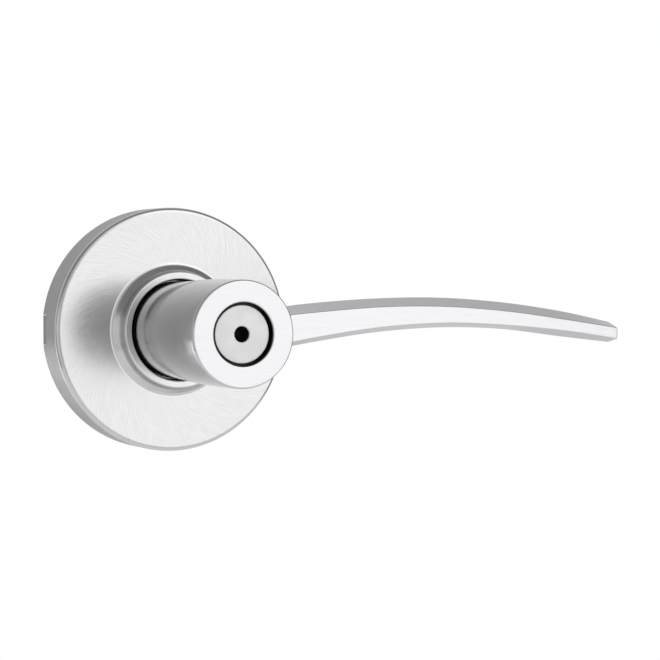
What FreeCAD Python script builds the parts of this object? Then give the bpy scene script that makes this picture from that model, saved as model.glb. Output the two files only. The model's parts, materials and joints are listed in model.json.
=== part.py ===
import FreeCAD, Part

import math
import os

# Outside trim of a tubular privacy lever set. Lengths are in millimetres.
# Working frame: x along the lever arm, y up, z out of the door, origin on the spindle axis at the door face.
# export() turns it into the stored frame, where z is up and the lever stands out of the door along -y.

V = FreeCAD.Vector
ORIGIN = V(0, 0, 0)
OUT = V(0, 0, 1)

# Fits
seat_gap = 0.05          # radial gap of parts that sit still in each other
running_gap = 0.05       # radial gap of the sleeve in its bushings
slide_gap = 0.1          # radial gap of the plunger and the catch in their guides
free_gap = 0.3           # gap between bodies that move past each other

# Rose cover
rose_overlap = 6.35      # how far the rose reaches past the door's cross bore
rose_taper = 0.1
rose_face_z = 12.4
rose_edge_round = 1.0
rose_wall = 1.0
collar_flare = 5.88      # from the collar's mouth to the foot of its curve
collar_foot_rise = 0.35
collar_height = 4.9
mouth_gap = 0.57         # between the hub's neck and the collar's mouth
notch_width = 8.5
notch_depth = 3.0

# Chassis
cross_bore_r = 27.0      # bore in the door, 54 mm across
boss_gap = 0.2
boss_wall = 2.2
boss_depth = 5.0
plate_t = 2.0
plate_rim_gap = 0.75
plate_lug_inset = 0.3    # from the rose's outside to the lug in its notch
plate_lug_lip_t = 0.55
post_spacing = 35.0
post_r = 4.0
post_length = 20.0
post_thread_r = 1.7
post_thread_depth = 16.0
post_neck_r = 2.6
post_head_r = 3.4
snap_ring_t = 0.8
snap_ring_gap = 9.5
snap_groove_depth = 0.6

# Spring housing and its screws
housing_wall = 1.2
housing_headroom = 1.2   # from the housing's front to the underside of the rose
housing_flange_t = 1.2
housing_neck_length = 1.2
housing_lug_depth = 1.8
screw_inset = 3.0        # from the boss's outside to the screws' circle
screw_r = 1.45
screw_head_r = 2.7
screw_head_t = 1.8
screw_depth = 4.0
screw_count = 3
screw_boss_r = 2.8

# Lever turn
turn_limit = 45.0
stop_pin_r = 1.5
stop_circle_r = 15.0
stop_pin_stand = 0.5     # how far the stop pins stand above the cam
stop_ear_half_angle = 10.0

# Spindle sleeve and its bearings
sleeve_r = 8.2
sleeve_wall = 1.5
sleeve_tail = 0.5
sleeve_depth = 13.6      # from the hub's face to the sleeve's front
bushing_wall = 1.3
bushing_flange_width = 1.05
bushing_flange_t = 0.6
rear_bushing_length = 3.6
sleeve_clip_t = 0.8
sleeve_clip_reach = 2.0
clip_groove_depth = 0.6
clip_play = 0.02

# Drive cam and return spring
cam_t = 1.2
cam_gap = 0.3
cam_disc_gap = 0.5
cam_ear_overhang = 0.9
cam_tab_half_width = 2.0
cam_tab_t = 1.2
cam_key_width = 4.0
cam_key_depth = 0.9
spring_coil_r = 12.0
spring_wire_r = 0.7
spring_leg_r = 0.67
spring_turns = 2
spring_room = 0.2
spring_leg_overhang = 1.6

# Washers behind the hub
washer_t = 0.6
washer_width = 2.5
cone_washer_t = 0.8

# Drive spindle
spindle_side = 7.1
spindle_bore_r = 1.9
spindle_back_z = -38.0
spindle_head_side = 8.6
spindle_head_t = 1.2
carrier_inset = 0.6
carrier_front_z = 14.0
carrier_pin_r = 1.25
carrier_pin_z = 8.0
spindle_clip_r = 5.9
spindle_clip_t = 0.8
spindle_groove_depth = 0.2

# Release plunger
plunger_rod_r = 1.5
plunger_head_r = 3.0
plunger_head_t = 3.0
plunger_head_stand = 2.0     # how far the head's back stands out of the guide
plunger_back_z = -36.0
plunger_front_gap = 0.6
guide_depth = 2.0        # from the sleeve's front to the guide's front
guide_bore_depth = 6.0
guide_web_t = 6.0
guide_ring_t = 0.8
guide_ring_width = 1.4
plunger_spring_r = 2.45
plunger_wire_r = 0.3
plunger_coils = 5
plunger_clip_r = 3.2
plunger_clip_t = 0.6
plunger_groove_depth = 0.3

# Lever catch
catch_rise = 12.3        # from the hub's base to the catch
catch_r = 1.9
catch_reach = 2.0        # how far the tip stands past the hub's bore
catch_plate_drop = 1.5
catch_plate_t = 1.2
catch_plate_width = 6.4
catch_plate_length = 6.0
catch_spring_t = 0.4
catch_spring_width = 3.0
catch_spring_foot_x = 2.8

# Lever hub
hub_wall = 4.85
hub_face_z = 61.6
hub_face_swell = 0.5
hub_edge_round = 0.6
hub_base_chamfer = 0.6
hub_neck_length = 8.3
hub_belly = [(0.2, 8.5), (0.52, 16.0), (0.63, 25.0)]     # swell beyond the neck, and height above it
key_width = 3.8
key_length = 6.5
key_end_gap = 0.5
insert_shoulder = 0.35
insert_mouth_round = 0.5

# Lever arm, as ridge lines through stations along x
arm_reach = 117.6
arm_plan = [9.6, 20.0, 40.0, 60.0, 80.0, 100.0, 117.6]     # stretched with the reach
arm_front_top = [4.1, 5.15, 6.5, 6.45, 5.0, 2.5, 0.1]
arm_front_low = [-3.2, -1.3, 1.2, 2.1, 1.2, -0.6, -3.0]
arm_wide_top = [5.6, 7.35, 8.75, 8.95, 7.65, 5.1, 1.8]
arm_wide_low = [-5.1, -3.0, -0.35, 0.8, 0.15, -2.2, -4.1]
arm_setback = 2.6        # from the hub's face to the arm's front
arm_return = 6.5         # how far the arm's tip comes back towards the door
arm_wide_depth = 6.0
arm_back_depth = 10.0
arm_tip_thinning = 0.22  # share of the depths lost from root to tip
arm_back_inset = 1.6
arm_root_fillet = 1.2

# Release insert
insert_recess = 1.2
insert_disc_t = 1.5
insert_rim_gap = 0.65
insert_hole_r = 2.0
insert_tube_r = 3.6
insert_chamfer = 0.25
insert_flange_t = 1.6
insert_clip_t = 0.8
insert_clip_groove = 0.6
insert_clip_width = 1.0

# Collar guide and rose liner
collar_guide_wall = 0.9
collar_guide_drop = 1.7      # below the collar's top
collar_guide_flange = 2.0
collar_guide_flange_t = 0.9
liner_wall = 1.3
liner_web_margin = 2.2
liner_web_t = 1.4
liner_face_gap = 0.15
liner_rib_half_t = 0.6
liner_rib_count = 6

# Radii that follow, from the spindle outwards
sleeve_inner_r = sleeve_r - sleeve_wall
carrier_r = sleeve_inner_r - seat_gap
key_inner_r = sleeve_inner_r + free_gap
bearing_r = sleeve_r + running_gap
bushing_r = bearing_r + bushing_wall
bushing_bore_r = bushing_r + seat_gap
bushing_flange_r = bushing_r + bushing_flange_width
washer_r = sleeve_r + slide_gap + washer_width
sleeve_clip_r = sleeve_r + sleeve_clip_reach
hub_bore_r = sleeve_r + slide_gap
hub_base_r = hub_bore_r + hub_wall
hub_face_r = hub_base_r + hub_face_swell
insert_bore_r = hub_bore_r - insert_shoulder
insert_disc_r = insert_bore_r - insert_rim_gap
collar_guide_inner_r = hub_base_r + free_gap + seat_gap
collar_guide_r = collar_guide_inner_r + collar_guide_wall
collar_guide_flange_r = collar_guide_r + collar_guide_flange
mouth_r = hub_base_r + mouth_gap
collar_foot_r = mouth_r + collar_flare
cam_disc_r = stop_circle_r - stop_pin_r - cam_disc_gap
cam_ear_r = stop_circle_r + stop_pin_r + cam_ear_overhang
spring_leg_reach = cam_ear_r + spring_leg_overhang
housing_lug_y = cam_ear_r + 2 * free_gap
housing_inner_r = housing_lug_y + housing_lug_depth
housing_r = housing_inner_r + housing_wall
housing_neck_r = bushing_bore_r + housing_wall
liner_web_inner_r = housing_r + liner_web_margin
boss_r = cross_bore_r - boss_gap
screw_circle_r = boss_r - screw_inset
housing_flange_r = screw_circle_r + screw_boss_r
rose_r = cross_bore_r + rose_overlap
rose_inner_r = rose_r - rose_wall
plate_r = rose_inner_r - plate_rim_gap
catch_hole_r = catch_r + slide_gap
rod_bore_r = plunger_rod_r + slide_gap

# Heights that follow, from the door outwards
rear_flange_top_z = plate_t + bushing_flange_t
rear_bushing_back_z = plate_t - rear_bushing_length
sleeve_clip_back_z = rear_bushing_back_z - free_gap - sleeve_clip_t
sleeve_back_z = sleeve_clip_back_z - sleeve_tail
carrier_back_z = sleeve_back_z + carrier_inset
cam_back_z = rear_flange_top_z + cam_gap
cam_front_z = cam_back_z + cam_t
stop_pin_top_z = cam_front_z + stop_pin_stand
housing_front_z = rose_face_z - rose_wall - housing_headroom
housing_ceiling_z = housing_front_z - housing_wall
housing_neck_top_z = housing_front_z + housing_neck_length
collar_guide_back_z = housing_front_z + free_gap
collar_foot_z = rose_face_z + collar_foot_rise
collar_top_z = rose_face_z + collar_height
collar_guide_top_z = collar_top_z - collar_guide_drop
front_flange_top_z = housing_neck_top_z + bushing_flange_t
washer_back_z = front_flange_top_z + free_gap
cone_washer_back_z = washer_back_z + washer_t
hub_base_z = cone_washer_back_z + cone_washer_t
hub_neck_top_z = hub_base_z + hub_neck_length
catch_z = hub_base_z + catch_rise
sleeve_front_z = hub_face_z - sleeve_depth
key_front_z = sleeve_front_z - key_end_gap
key_back_z = key_front_z - key_length
guide_front_z = sleeve_front_z - guide_depth
guide_seat_z = guide_front_z - guide_bore_depth
guide_back_z = guide_seat_z - guide_web_t
plunger_head_z = guide_front_z + plunger_head_stand
plunger_front_z = plunger_head_z + plunger_head_t
insert_tube_back_z = plunger_front_z + plunger_front_gap
insert_face_z = hub_face_z - insert_recess
insert_seat_z = insert_face_z - insert_disc_t
insert_clip_back_z = insert_seat_z - insert_flange_t - insert_clip_t - 2 * seat_gap
arm_front_z = hub_face_z - arm_setback

# Places along the arm, and the catch's foot
arm_stations = [x * arm_reach / arm_plan[-1] for x in arm_plan]
catch_tip_y = -(hub_bore_r + catch_reach)
catch_plate_bottom_y = catch_plate_drop - sleeve_inner_r
catch_plate_top_y = catch_plate_bottom_y + catch_plate_t


def export(node, *solids):
    """Writes the solids of one node, turned from the working frame into the stored frame."""
    shape = solids[0] if len(solids) == 1 else Part.makeCompound(list(solids))
    shape = shape.copy()
    shape.rotate(ORIGIN, V(1, 0, 0), 90)
    shape.exportStep("parts/%s.step" % node)


def disc(radius, back_z, front_z, x=0.0, y=0.0):
    return Part.makeCylinder(radius, front_z - back_z, V(x, y, back_z), OUT)


def ring(outer_r, inner_r, back_z, front_z):
    return disc(outer_r, back_z, front_z).cut(disc(inner_r, back_z, front_z))


def block(x_range, y_range, z_range):
    corner = V(x_range[0], y_range[0], z_range[0])
    size = (x_range[1] - x_range[0], y_range[1] - y_range[0], z_range[1] - z_range[0])
    return Part.makeBox(size[0], size[1], size[2], corner)


def square_bar(side, back_z, front_z):
    half = side / 2
    return block((-half, half), (-half, half), (back_z, front_z))


def rod_along_x(radius, x_range, z):
    return Part.makeCylinder(radius, x_range[1] - x_range[0], V(x_range[0], 0, z), V(1, 0, 0))


def split_ring(outer_r, inner_r, back_z, front_z, gap_width, gap_angle=90.0):
    """Ring with a straight gap, cut at the given angle about z."""
    gap = block((0, outer_r + 1), (-gap_width / 2, gap_width / 2), (back_z, front_z))
    gap.rotate(ORIGIN, OUT, gap_angle)
    return ring(outer_r, inner_r, back_z, front_z).cut(gap)


def polar(radius, angle):
    return radius * math.cos(math.radians(angle)), radius * math.sin(math.radians(angle))


def sector(outer_r, inner_r, back_z, front_z, middle_angle, half_angle):
    """Piece of a ring between two radii, centred on an angle about z."""
    piece = Part.makeCylinder(outer_r, front_z - back_z, V(0, 0, back_z), OUT, 2 * half_angle)
    piece = piece.cut(disc(inner_r, back_z, front_z))
    piece.rotate(ORIGIN, OUT, middle_angle - half_angle)
    return piece


def rz(radius, z):
    """Point of a turned profile."""
    return V(radius, 0, z)


def line(start, end):
    return Part.LineSegment(start, end).toShape()


def arc(start, middle, end):
    return Part.Arc(start, middle, end).toShape()


def turned(edges):
    """Solid made by turning a closed profile about z."""
    face = Part.Face(Part.Wire(edges))
    return face.revolve(ORIGIN, OUT, 360)


def closed_lines(points):
    return [line(a, b) for a, b in zip(points, points[1:] + points[:1])]


def rose_cover():
    rim_r = rose_r - rose_taper
    fillet_r = rim_r - rose_edge_round
    corner = rose_edge_round * math.sqrt(0.5)
    rim = rz(rim_r, rose_face_z - rose_edge_round)
    rim_middle = rz(fillet_r + corner, rose_face_z - rose_edge_round + corner)
    face_edge = rz(fillet_r, rose_face_z)
    face_middle_r = (fillet_r + collar_foot_r) / 2
    face_middle = rz(face_middle_r, rose_face_z + 0.06)
    foot = rz(collar_foot_r, collar_foot_z)
    wall_foot = rz(collar_foot_r - 2.85, collar_foot_z + 2.05)
    wall_top = rz(collar_foot_r - 3.6, collar_top_z - 1.0)
    lip_outer = rz(mouth_r + 1.2, collar_top_z)
    lip_inner = rz(mouth_r + 0.4, collar_top_z)
    mouth_top = rz(mouth_r, collar_top_z - 0.4)
    mouth_bottom = rz(mouth_r, collar_top_z - rose_wall)
    outer = [
        line(rz(rose_r, 0), rim),
        arc(rim, rim_middle, face_edge),
        arc(face_edge, face_middle, foot),
        arc(foot, rz(collar_foot_r - 1.85, collar_foot_z + 0.65), wall_foot),
        line(wall_foot, wall_top),
        arc(wall_top, rz(collar_foot_r - 3.93, collar_top_z - 0.3), lip_outer),
        line(lip_outer, lip_inner),
        arc(lip_inner, rz(mouth_r + 0.12, collar_top_z - 0.12), mouth_top),
        line(mouth_top, mouth_bottom),
    ]
    inner_points = [
        mouth_bottom,
        rz(mouth_r + 1.2, collar_top_z - rose_wall),
        rz(wall_foot.x - rose_wall, wall_foot.z - 0.3),
        rz(collar_foot_r - 2.4, collar_foot_z - 0.25),
        rz(collar_foot_r, collar_foot_z - rose_wall),
        rz(fillet_r, rose_face_z - rose_wall),
        rz(rose_inner_r, rose_face_z - rose_wall - 0.4),
        rz(rose_inner_r, 0),
        rz(rose_r, 0),
    ]
    inner = [line(a, b) for a, b in zip(inner_points, inner_points[1:])]
    shell = turned(outer + inner)
    notch = block((-rose_r - 1, -rose_inner_r + 1), (-notch_width / 2, notch_width / 2), (-1, notch_depth))
    return shell.cut(notch)


def rose_liner():
    """Nylon ring that backs the rose's wall and face."""
    outer_r = rose_inner_r - seat_gap
    wall_inner_r = outer_r - liner_wall
    bottom_z = plate_t + seat_gap
    top_z = rose_face_z - rose_wall - liner_face_gap
    liner = ring(outer_r - 0.3, liner_web_inner_r, top_z - liner_web_t, top_z)
    liner = liner.fuse(ring(outer_r, wall_inner_r, bottom_z, top_z - 0.6))
    for i in range(liner_rib_count):
        rib = block((housing_flange_r + 1, wall_inner_r + 0.2), (-liner_rib_half_t, liner_rib_half_t),
                    (bottom_z, top_z - 0.6))
        rib.rotate(ORIGIN, OUT, 30 + i * 360 / liner_rib_count)
        liner = liner.fuse(rib)
    return liner.removeSplitter()


def rose_snap_ring():
    back_z = (plate_t - snap_ring_t) / 2
    inner_r = plate_r - snap_groove_depth + seat_gap
    return split_ring(rose_inner_r - seat_gap, inner_r, back_z, back_z + snap_ring_t, snap_ring_gap, 180.0)


def collar_guide():
    """Black nylon ring round the hub, inside the rose's collar."""
    sleeve = ring(collar_guide_r, collar_guide_inner_r, collar_guide_back_z, collar_guide_top_z)
    flange_top_z = collar_guide_back_z + collar_guide_flange_t
    flange = ring(collar_guide_flange_r, collar_guide_inner_r, collar_guide_back_z, flange_top_z)
    return sleeve.fuse(flange).removeSplitter()


def screw_places():
    return [polar(screw_circle_r, 90 + i * 360 / screw_count) for i in range(screw_count)]


def post_places():
    return [-post_spacing / 2, post_spacing / 2]


def stop_pin_places():
    swing = turn_limit + stop_ear_half_angle
    clearance = math.degrees((stop_pin_r + free_gap) / stop_circle_r)
    return [polar(stop_circle_r, -90 + side * (swing + clearance)) for side in (-1, 1)]


def plate_lug():
    """Turned-up lug on the plate's rim that fills the rose's notch and keeps the rose from turning."""
    half_width = notch_width / 2 - free_gap
    outer_x = plate_lug_inset - rose_r
    inner_x = snap_groove_depth + plate_lug_lip_t - plate_r
    lug = block((outer_x, inner_x), (-half_width, half_width), (0, plate_t))
    lip_top_z = notch_depth - free_gap
    lip = block((outer_x, outer_x + plate_lug_lip_t), (-half_width, half_width), (plate_t, lip_top_z))
    return lug.fuse(lip)


def chassis_plate():
    plate = disc(plate_r, 0, plate_t)
    plate = plate.fuse(ring(boss_r, boss_r - boss_wall, -boss_depth, 0))
    for x, y in screw_places():
        plate = plate.fuse(disc(screw_boss_r, -boss_depth, 0, x, y))
    groove_back_z = (plate_t - snap_ring_t) / 2 - seat_gap
    groove_front_z = groove_back_z + snap_ring_t + 2 * seat_gap
    plate = plate.cut(ring(plate_r + 1, plate_r - snap_groove_depth, groove_back_z, groove_front_z))
    plate = plate.fuse(plate_lug())
    plate = plate.cut(disc(bushing_bore_r, -1, plate_t + 1))
    for x in post_places():
        plate = plate.cut(post_stake(x, seat_gap))
    for x, y in screw_places():
        plate = plate.cut(disc(screw_r + seat_gap, -screw_depth - 0.5, plate_t + 1, x, y))
    for x, y in stop_pin_places():
        plate = plate.cut(disc(stop_pin_r + seat_gap, -1, plate_t + 1, x, y))
    return plate.removeSplitter()


def post_stake(x, gap=0.0):
    """Neck of a post and its head, which is staked flush with the plate."""
    head_t = post_head_r - post_neck_r
    head_place = V(x, 0, plate_t - head_t)
    neck = disc(post_neck_r + gap, 0, plate_t, x)
    return neck.fuse(Part.makeCone(post_neck_r + gap, post_head_r + gap, head_t, head_place, OUT))


def mounting_post(x):
    """Tapped post, staked in the plate."""
    post = disc(post_r, -post_length, 0, x).fuse(post_stake(x))
    return post.cut(disc(post_thread_r, -post_length, post_thread_depth - post_length, x)).removeSplitter()


def stop_pin(x, y):
    return disc(stop_pin_r, 0, stop_pin_top_z, x, y)


def spring_housing():
    """Cup over the return spring, with a screwed flange and a neck for the front bushing."""
    cup = disc(housing_r, plate_t, housing_front_z)
    cup = cup.fuse(disc(housing_flange_r, plate_t, plate_t + housing_flange_t))
    cup = cup.fuse(disc(housing_neck_r, housing_front_z, housing_neck_top_z))
    cup = cup.cut(disc(housing_inner_r, plate_t, housing_ceiling_z))
    cup = cup.cut(disc(bushing_bore_r, plate_t, housing_neck_top_z))
    lug = block((-cam_tab_half_width, cam_tab_half_width), (housing_lug_y, housing_inner_r + 0.3),
                (cam_front_z + 1, housing_ceiling_z))
    cup = cup.fuse(lug)
    for x, y in screw_places():
        cup = cup.cut(disc(screw_r + seat_gap, plate_t, plate_t + housing_flange_t, x, y))
        cup = cup.cut(disc(screw_head_r + 0.2, plate_t + housing_flange_t, housing_front_z, x, y))
    return cup.removeSplitter()


def housing_screw(x, y):
    """Pan-head screw with a cross recess."""
    seat_z = plate_t + housing_flange_t
    top_z = seat_z + screw_head_t
    screw = disc(screw_head_r, seat_z, top_z, x, y)
    rim = [edge for edge in screw.Edges if abs(edge.BoundBox.ZMin - top_z) < 0.01 and edge.Closed]
    screw = screw.makeFillet(screw_head_t / 2, rim)
    screw = screw.fuse(disc(screw_r, -screw_depth, seat_z, x, y))
    for size_x, size_y in ((1.6, 0.35), (0.35, 1.6)):
        recess = block((x - size_x, x + size_x), (y - size_y, y + size_y), (top_z - 1.0, top_z))
        screw = screw.cut(recess)
    return screw


def spindle_sleeve():
    """Steel tube that carries the lever, slotted for the cam behind and for the hub's key in front."""
    sleeve = ring(sleeve_r, sleeve_inner_r, sleeve_back_z, sleeve_front_z)
    half_slot = cam_key_width / 2 + seat_gap
    slot_end_z = cam_front_z + slide_gap
    cam_slot = block((-sleeve_r - 1, sleeve_r + 1), (-half_slot, half_slot), (sleeve_back_z, slot_end_z))
    sleeve = sleeve.cut(cam_slot)
    half_key = key_width / 2 + slide_gap
    key_slot = block((-half_key, half_key), (0, sleeve_r + 1), (key_back_z - key_end_gap, sleeve_front_z))
    sleeve = sleeve.cut(key_slot)
    clip_front_z = sleeve_clip_back_z + sleeve_clip_t
    sleeve = sleeve.cut(ring(sleeve_r + 1, sleeve_r - clip_groove_depth, sleeve_clip_back_z, clip_front_z))
    ring_back_z = guide_front_z + seat_gap
    inner_groove = ring(sleeve_inner_r + clip_groove_depth, 1.0, ring_back_z, ring_back_z + guide_ring_t)
    sleeve = sleeve.cut(inner_groove)
    sleeve = sleeve.cut(rod_along_x(carrier_pin_r + seat_gap, (-sleeve_r - 1, sleeve_r + 1), carrier_pin_z))
    catch_hole = Part.makeCylinder(catch_hole_r, sleeve_r + 1, V(0, 0, catch_z), V(0, -1, 0))
    return sleeve.cut(catch_hole)


def sleeve_clip():
    back_z = sleeve_clip_back_z + clip_play
    front_z = sleeve_clip_back_z + sleeve_clip_t - clip_play
    inner_r = sleeve_r - clip_groove_depth + seat_gap
    return split_ring(sleeve_clip_r, inner_r, back_z, front_z, 5.0, -90.0)


def rear_bushing():
    barrel = disc(bushing_r, rear_bushing_back_z, plate_t)
    flange = disc(bushing_flange_r, plate_t, rear_flange_top_z)
    return barrel.fuse(flange).cut(disc(bearing_r, rear_bushing_back_z, rear_flange_top_z)).removeSplitter()


def front_bushing():
    barrel = disc(bushing_r, housing_ceiling_z, housing_neck_top_z)
    flange = disc(bushing_flange_r, housing_neck_top_z, front_flange_top_z)
    return barrel.fuse(flange).cut(disc(bearing_r, housing_ceiling_z, front_flange_top_z)).removeSplitter()


def drive_cam():
    """Plate keyed to the sleeve; a bent tab works the spring, and an ear meets the stop pins."""
    cam = disc(cam_disc_r, cam_back_z, cam_front_z)
    half_tab = cam_tab_half_width
    cam = cam.fuse(block((-half_tab, half_tab), (cam_disc_r - 1, cam_ear_r), (cam_back_z, cam_front_z)))
    tab_z = (cam_front_z, housing_ceiling_z - free_gap)
    cam = cam.fuse(block((-half_tab, half_tab), (cam_ear_r - cam_tab_t, cam_ear_r), tab_z))
    cam = cam.fuse(sector(cam_ear_r - 0.6, cam_disc_r - 1, cam_back_z, cam_front_z, -90, stop_ear_half_angle))
    cam = cam.cut(disc(sleeve_r + seat_gap, cam_back_z, cam_front_z))
    half_key = cam_key_width / 2
    for side in (-1, 1):
        outer_x = side * (sleeve_r + 0.5)
        inner_x = side * (sleeve_r - cam_key_depth)
        cam = cam.fuse(block(sorted((outer_x, inner_x)), (-half_key, half_key), (cam_back_z, cam_front_z)))
    return cam.removeSplitter()


def coil(radius, wire_r, pitch, turns, back_z, start_angle):
    """Round wire wound about z."""
    height = pitch * turns
    helix = Part.makeHelix(pitch, height, radius)
    start = Part.Circle(V(radius, 0, 0), V(0, 2 * math.pi * radius, pitch).normalize(), wire_r)
    section = Part.Wire(start.toShape())
    pipe = Part.Wire(helix.Edges).makePipeShell([section], True, True)
    pipe.translate(V(0, 0, back_z))
    pipe.rotate(ORIGIN, OUT, start_angle)
    return pipe


def return_spring():
    """Torsion spring whose two legs lie on either side of the cam's tab and the housing's lug."""
    leg_x = cam_tab_half_width + spring_wire_r + 0.1
    leg_angle = math.degrees(math.acos(leg_x / spring_coil_r))
    turns = spring_turns - (180 - 2 * leg_angle) / 360
    low_z = cam_front_z + spring_wire_r + spring_room
    high_z = housing_ceiling_z - spring_wire_r - spring_room
    spring = coil(spring_coil_r, spring_wire_r, (high_z - low_z) / turns, turns, low_z, 180 - leg_angle)
    leg_y = leg_x * math.tan(math.radians(leg_angle))
    leg_start_y = leg_y - spring_leg_r / 2
    leg_length = spring_leg_reach - leg_start_y
    for x, z in ((-leg_x, low_z), (leg_x, high_z)):
        leg = Part.makeCylinder(spring_leg_r, leg_length, V(x, leg_start_y, z), V(0, 1, 0))
        spring = spring.fuse(leg)
    return spring


def thrust_washer():
    return ring(washer_r, sleeve_r + slide_gap, washer_back_z, washer_back_z + washer_t)


def spring_washer():
    """Cone washer between the thrust washer and the hub."""
    inner_r = sleeve_r + slide_gap
    strip_t = cone_washer_t / 2
    points = [
        rz(washer_r, cone_washer_back_z),
        rz(washer_r, cone_washer_back_z + strip_t),
        rz(inner_r, hub_base_z),
        rz(inner_r, hub_base_z - strip_t),
    ]
    return turned(closed_lines(points))


def spindle_carrier():
    carrier = disc(carrier_r, carrier_back_z, carrier_front_z)
    carrier = carrier.cut(square_bar(spindle_side + 2 * seat_gap, carrier_back_z, carrier_front_z))
    return carrier.cut(rod_along_x(carrier_pin_r + seat_gap, (-carrier_r, carrier_r), carrier_pin_z))


def carrier_pin(side):
    inner_x = side * (spindle_side / 2 + 2 * seat_gap)
    outer_x = side * (sleeve_r - seat_gap)
    return rod_along_x(carrier_pin_r, sorted((inner_x, outer_x)), carrier_pin_z)


def drive_spindle():
    """Square bar with a through bore, headed in front and grooved behind its carrier."""
    spindle = square_bar(spindle_side, spindle_back_z, carrier_front_z)
    head_front_z = carrier_front_z + spindle_head_t
    spindle = spindle.fuse(square_bar(spindle_head_side, carrier_front_z, head_front_z))
    spindle = spindle.cut(disc(spindle_bore_r, spindle_back_z, head_front_z))
    clip_front_z = carrier_back_z - seat_gap
    groove_r = spindle_side / 2 - spindle_groove_depth
    groove = ring(spindle_side, groove_r, clip_front_z - spindle_clip_t, clip_front_z)
    return spindle.cut(groove).removeSplitter()


def spindle_clip():
    front_z = carrier_back_z - seat_gap - clip_play
    inner_r = spindle_side / 2 - spindle_groove_depth + seat_gap
    return split_ring(spindle_clip_r, inner_r, front_z - spindle_clip_t + 2 * clip_play, front_z, 4.0)


def lever_catch():
    """Button through the sleeve into the hub, with a square foot under its spring."""
    length = catch_plate_bottom_y - catch_tip_y
    button = Part.makeCylinder(catch_r, length, V(0, catch_plate_bottom_y, catch_z), V(0, -1, 0))
    half_width = catch_plate_width / 2
    half_length = catch_plate_length / 2
    foot = block((-half_width, half_width), (catch_plate_bottom_y, catch_plate_top_y),
                 (catch_z - half_length, catch_z + half_length))
    return button.fuse(foot).removeSplitter()


def catch_spring():
    """C-shaped strip from the catch's foot round the plunger to the top of the sleeve."""
    top_y = sleeve_inner_r - 0.2
    foot_x = catch_spring_foot_x
    foot_y = catch_plate_top_y + seat_gap
    centre_y = (top_y ** 2 - foot_x ** 2 - foot_y ** 2) / (2 * (top_y - foot_y))
    radius = top_y - centre_y
    back_z = catch_z - catch_spring_width / 2
    front_z = back_z + catch_spring_width
    inside = disc(radius - catch_spring_t, back_z, front_z, 0, centre_y)
    strip = disc(radius, back_z, front_z, 0, centre_y).cut(inside)
    below = block((-radius, radius), (centre_y - radius - 1, foot_y), (back_z, front_z))
    return strip.cut(below)


def plunger_guide():
    guide = disc(carrier_r, guide_back_z, guide_front_z)
    guide = guide.cut(disc(plunger_head_r + 4 * slide_gap, guide_seat_z, guide_front_z))
    return guide.cut(disc(rod_bore_r, guide_back_z, guide_seat_z))


def guide_ring():
    back_z = guide_front_z + seat_gap + clip_play
    front_z = back_z + guide_ring_t - 2 * clip_play
    outer_r = sleeve_inner_r + clip_groove_depth - seat_gap
    return split_ring(outer_r, sleeve_inner_r - guide_ring_width, back_z, front_z, 6.0)


def release_plunger():
    """Rod with a dished head under the insert's hole, grooved behind the guide."""
    plunger = disc(plunger_rod_r, plunger_back_z, plunger_head_z)
    plunger = plunger.fuse(disc(plunger_head_r, plunger_head_z, plunger_front_z))
    dish = Part.makeCone(0, plunger_rod_r, 1.0, V(0, 0, plunger_front_z - 1.0), OUT)
    plunger = plunger.cut(dish)
    clip_front_z = guide_back_z - free_gap
    groove_r = plunger_rod_r - plunger_groove_depth
    groove = ring(plunger_rod_r + 1, groove_r, clip_front_z - plunger_clip_t, clip_front_z)
    return plunger.cut(groove).removeSplitter()


def plunger_clip():
    front_z = guide_back_z - free_gap - clip_play
    inner_r = plunger_rod_r - plunger_groove_depth + seat_gap
    return split_ring(plunger_clip_r, inner_r, front_z - plunger_clip_t + 2 * clip_play, front_z, 2.0)


def plunger_spring():
    low_z = guide_seat_z + plunger_wire_r + 0.05
    high_z = plunger_head_z - plunger_wire_r - 0.05
    pitch = (high_z - low_z) / plunger_coils
    return coil(plunger_spring_r, plunger_wire_r, pitch, plunger_coils, low_z, 0)


def hub_body():
    """Turned hub: a plain neck that flares to a wider barrel."""
    belly = [rz(hub_base_r, hub_neck_top_z)]
    belly += [rz(hub_base_r + swell, hub_neck_top_z + height) for swell, height in hub_belly]
    belly += [rz(hub_face_r, hub_face_z - hub_edge_round)]
    curve = Part.BSplineCurve()
    curve.interpolate(Points=belly, InitialTangent=V(0, 0, 8), FinalTangent=V(-0.1, 0, 8))
    corner = hub_edge_round * (1 - math.sqrt(0.5))
    face_edge = rz(hub_face_r - hub_edge_round, hub_face_z)
    edges = [
        line(rz(0, hub_base_z), rz(hub_base_r - hub_base_chamfer, hub_base_z)),
        line(rz(hub_base_r - hub_base_chamfer, hub_base_z), rz(hub_base_r, hub_base_z + hub_base_chamfer)),
        line(rz(hub_base_r, hub_base_z + hub_base_chamfer), belly[0]),
        curve.toShape(),
        arc(belly[-1], rz(hub_face_r - corner, hub_face_z - corner), face_edge),
        line(face_edge, rz(0, hub_face_z)),
        line(rz(0, hub_face_z), rz(0, hub_base_z)),
    ]
    return turned(edges)


def ridge(heights, depth, inset=0.0):
    """Ridge line of the arm: its height at each station, and its depth behind the front face's root."""
    root = arm_stations[0]
    span = arm_stations[-1] - root
    points = []
    for x, y in zip(arm_stations, heights):
        share = (x - root) / span
        front_z = arm_front_z - arm_return * share ** 2
        points.append(V(x, y - inset, front_z - depth * (1 - arm_tip_thinning * share)))
    curve = Part.BSplineCurve()
    curve.interpolate(points)
    return curve.toShape()


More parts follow.
